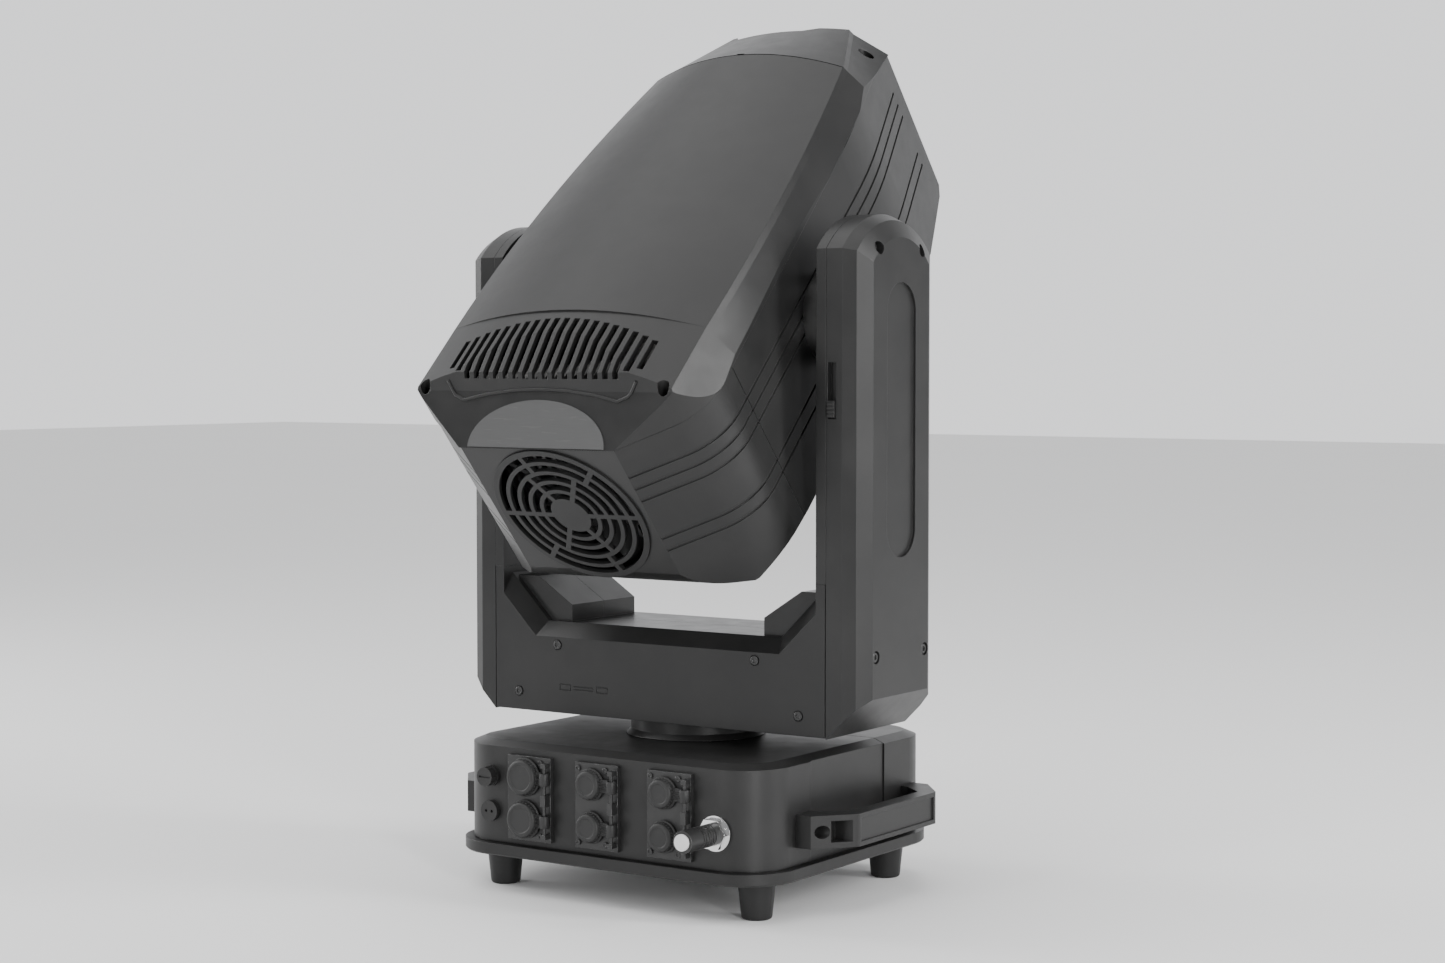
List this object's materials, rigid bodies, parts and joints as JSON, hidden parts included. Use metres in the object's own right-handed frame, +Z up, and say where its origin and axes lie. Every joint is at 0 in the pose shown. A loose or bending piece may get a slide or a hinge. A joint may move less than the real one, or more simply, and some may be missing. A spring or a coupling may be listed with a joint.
{
  "type": "moving head light",
  "caption": "Stage light with a tilting head carried between the two tall arms of a panning yoke, on a flat base with capped sockets, carrying handles and rubber feet.",
  "frame": {"origin": "on the pan axis, at the plane the rubber feet stand on", "axes": "+Z up along the pan axis, +X along the tilt axis towards the arm with the tilt lock, socket side of the base towards -Y"},
  "size_m": [0.424, 0.5114, 0.7781],
  "materials": {
    "base_shell": "fine-textured satin black moulding",
    "base_tray": "fine-textured satin black moulding",
    "yoke_shell": "fine-textured satin black moulding",
    "head_shell": "fine-textured satin black moulding",
    "grille": "matte black moulding",
    "label": "plain satin grey plate",
    "handle": "satin black moulding",
    "rubber": "dull black rubber",
    "socket_plate": "satin black",
    "socket": "black moulded sockets with metal pins",
    "black_steel": "blackened socket screws",
    "chrome": "bright plated",
    "white_plastic": "white plug face",
    "steel": "turned steel",
    "cast_alloy": "cast and extruded aluminium",
    "motor": "black motor cases",
    "window": "dark tinted window",
    "lens": "clear coated glass",
    "gobo": "etched disc"
  },
  "bodies": {
    "base": {"base_tray": "base_tray", "base_housing_rear": "base_shell", "base_housing_front": "base_shell", "rubber_feet": "rubber", "handle_right": "handle", "handle_left": "handle", "power_plate": "socket_plate", "data_plates": "socket_plate", "power_sockets": "socket", "data_sockets": "socket", "fuse_holder": "socket", "breather_vent": "socket", "port_nut": "chrome", "port_sleeve": "black_steel", "port_plug": "white_plastic", "display_panel": "base_shell", "display_glass": "window", "base_screws": "steel", "power_supply": "cast_alloy", "pan_shaft": "steel", "pan_pulley": "cast_alloy"},
    "power_in_cap": {"power_in_cap": "rubber"},
    "power_out_cap": {"power_out_cap": "rubber"},
    "data_in_cap": {"data_in_cap": "rubber"},
    "data_out_cap": {"data_out_cap": "rubber"},
    "network_in_cap": {"network_in_cap": "rubber"},
    "network_out_cap": {"network_out_cap": "rubber"},
    "fuse_cap": {"fuse_cap": "socket"},
    "button_menu": {"button_menu": "rubber"},
    "button_down": {"button_down": "rubber"},
    "button_up": {"button_up": "rubber"},
    "button_enter": {"button_enter": "rubber"},
    "yoke": {"turntable": "base_shell", "yoke_frame": "cast_alloy", "crossbar_cover_rear": "yoke_shell", "crossbar_cover_front": "yoke_shell", "arm_inner_cover_left": "yoke_shell", "arm_inner_cover_right": "yoke_shell", "arm_outer_cover_left": "yoke_shell", "arm_outer_cover_right": "yoke_shell", "yoke_screws": "black_steel", "yoke_motors": "motor"},
    "pan_pinion": {"pan_pinion": "steel"},
    "tilt_pinion": {"tilt_pinion": "steel"},
    "tilt_lock": {"tilt_lock": "rubber"},
    "head": {"head_top_cover": "head_shell", "head_nose_cover": "head_shell", "head_lower_cover": "head_shell", "head_rear_cover": "head_shell", "fan_grille": "grille", "label_plate": "label", "head_screws": "black_steel", "heat_sink": "cast_alloy", "front_bezel": "head_shell", "front_lens": "lens", "tilt_axles": "steel", "optics_frame": "cast_alloy"},
    "fan_rotor": {"fan_rotor": "grille"},
    "gobo_wheel": {"gobo_wheel": "gobo"},
    "focus_carriage": {"focus_carriage": "cast_alloy"}
  },
  "joints": [
    {"name": "pan", "type": "hinge", "parent": "base", "child": "yoke", "pos_m": [0, 0, 0.15], "axis": [0, 0, 1], "range_deg": [-270, 270]},
    {"name": "tilt", "type": "hinge", "parent": "yoke", "child": "head", "pos_m": [0, 0, 0.505], "axis": [1, 0, 0], "range_deg": [-86, 183]},
    {"name": "power_in_cap_hinge", "type": "hinge", "parent": "base", "child": "power_in_cap", "pos_m": [-0.054, -0.154, 0.106], "axis": [0, 0, 1], "range_deg": [0, 120]},
    {"name": "power_out_cap_hinge", "type": "hinge", "parent": "base", "child": "power_out_cap", "pos_m": [-0.054, -0.154, 0.069], "axis": [0, 0, 1], "range_deg": [0, 120]},
    {"name": "data_in_cap_hinge", "type": "hinge", "parent": "base", "child": "data_in_cap", "pos_m": [0.018, -0.154, 0.106], "axis": [0, 0, 1], "range_deg": [0, 120]},
    {"name": "data_out_cap_hinge", "type": "hinge", "parent": "base", "child": "data_out_cap", "pos_m": [0.018, -0.154, 0.069], "axis": [0, 0, 1], "range_deg": [0, 120]},
    {"name": "network_in_cap_hinge", "type": "hinge", "parent": "base", "child": "network_in_cap", "pos_m": [0.094, -0.154, 0.106], "axis": [0, 0, 1], "range_deg": [0, 120]},
    {"name": "network_out_cap_hinge", "type": "hinge", "parent": "base", "child": "network_out_cap", "pos_m": [0.094, -0.154, 0.069], "axis": [0, 0, 1], "range_deg": [0, 95]},
    {"name": "fuse_cap_turn", "type": "hinge", "parent": "base", "child": "fuse_cap", "pos_m": [-0.119, -0.1525, 0.103], "axis": [0, -1, 0], "range_deg": [0, 90]},
    {"name": "menu_press", "type": "slide", "parent": "base", "child": "button_menu", "axis": [0, -1, 0], "range_m": [0, 0.0015], "stiffness_N_per_m": 400},
    {"name": "down_press", "type": "slide", "parent": "base", "child": "button_down", "axis": [0, -1, 0], "range_m": [0, 0.0015], "stiffness_N_per_m": 400},
    {"name": "up_press", "type": "slide", "parent": "base", "child": "button_up", "axis": [0, -1, 0], "range_m": [0, 0.0015], "stiffness_N_per_m": 400},
    {"name": "enter_press", "type": "slide", "parent": "base", "child": "button_enter", "axis": [0, -1, 0], "range_m": [0, 0.0015], "stiffness_N_per_m": 400},
    {"name": "pan_pinion_spin", "type": "hinge", "parent": "yoke", "child": "pan_pinion", "pos_m": [0.1, 0, 0.18], "axis": [0, 0, 1], "range_deg": [-1110, 1110]},
    {"name": "tilt_pinion_spin", "type": "hinge", "parent": "yoke", "child": "tilt_pinion", "pos_m": [0.19, 0, 0.33], "axis": [1, 0, 0], "range_deg": [-365, 755]},
    {"name": "tilt_lock_slide", "type": "slide", "parent": "yoke", "child": "tilt_lock", "axis": [0, 0, 1], "range_m": [0, 0.022]},
    {"name": "fan_spin", "type": "hinge", "parent": "head", "child": "fan_rotor", "pos_m": [0, -0.17705, 0.34591], "axis": [0, 0.7536, 0.6574], "continuous": true},
    {"name": "gobo_spin", "type": "hinge", "parent": "head", "child": "gobo_wheel", "pos_m": [0, -0.01498, 0.43089], "axis": [0, 0.7536, 0.6574], "continuous": true},
    {"name": "focus_slide", "type": "slide", "parent": "head", "child": "focus_carriage", "axis": [0, 0.7536, 0.6574], "range_m": [0, 0.12]}
  ],
  "couplings": [
    {"joint": "pan_pinion_spin", "follows": "pan", "ratio": -4},
    {"joint": "tilt_pinion_spin", "follows": "tilt", "ratio": 4}
  ]
}
